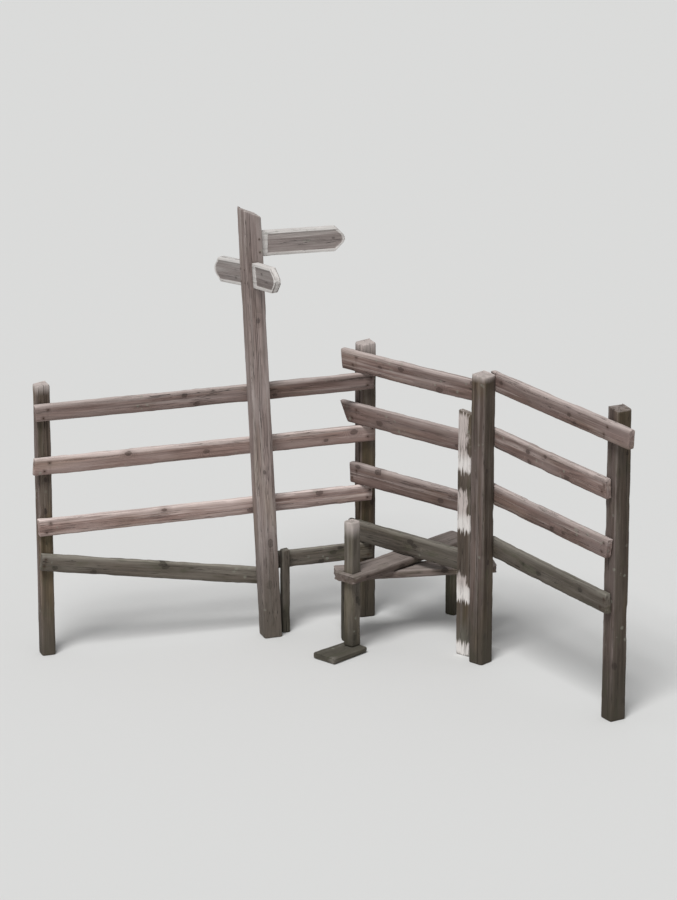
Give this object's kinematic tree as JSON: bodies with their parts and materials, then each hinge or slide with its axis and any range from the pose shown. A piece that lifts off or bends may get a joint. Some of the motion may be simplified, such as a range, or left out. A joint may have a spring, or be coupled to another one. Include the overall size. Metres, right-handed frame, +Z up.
{
  "type": "wooden step stile with fingerpost",
  "caption": "Weathered timber step stile at a fence corner, with crossed step boards, nailed rails on both sides and a footpath fingerpost.",
  "frame": {"origin": "centre of the stile post's flat foot, at the lowest ground", "axes": "+X along the stile rails away from the corner post, -Y the side that the left bay bends to, +Z up"},
  "size_m": [2.876, 1.9911, 2.2454],
  "materials": {
    "post_timber": "weathered, sawn",
    "rail_timber": "weathered, sawn",
    "low_timber": "damp, darkened by algae",
    "pale_timber": "bleached, sawn",
    "step_timber": "worn by boots",
    "sign_timber": "silvered oak"
  },
  "bodies": {
    "root": {"stile_post": "post_timber", "corner_post": "post_timber", "left_post": "post_timber", "end_post": "post_timber", "rail_cleat": "pale_timber", "rail_stake": "low_timber", "left_rail_lower": "rail_timber", "left_rail_middle": "rail_timber", "left_rail_top": "rail_timber", "left_rail_dropped": "low_timber", "left_rail_short": "low_timber", "stile_rail_low": "low_timber", "stile_rail_lower": "rail_timber", "stile_rail_middle": "rail_timber", "stile_rail_top": "rail_timber", "right_rail_low": "low_timber", "right_rail_lower": "rail_timber", "right_rail_middle": "rail_timber", "right_rail_top": "rail_timber", "upper_step": "step_timber", "lower_step": "step_timber", "upper_leg_front": "low_timber", "upper_leg_back": "low_timber", "lower_leg_front": "low_timber", "lower_leg_back": "low_timber", "step_sill": "pale_timber", "fingerpost": "sign_timber", "finger_long": "sign_timber", "finger_left": "sign_timber", "finger_front": "sign_timber"}
  },
  "joints": []
}
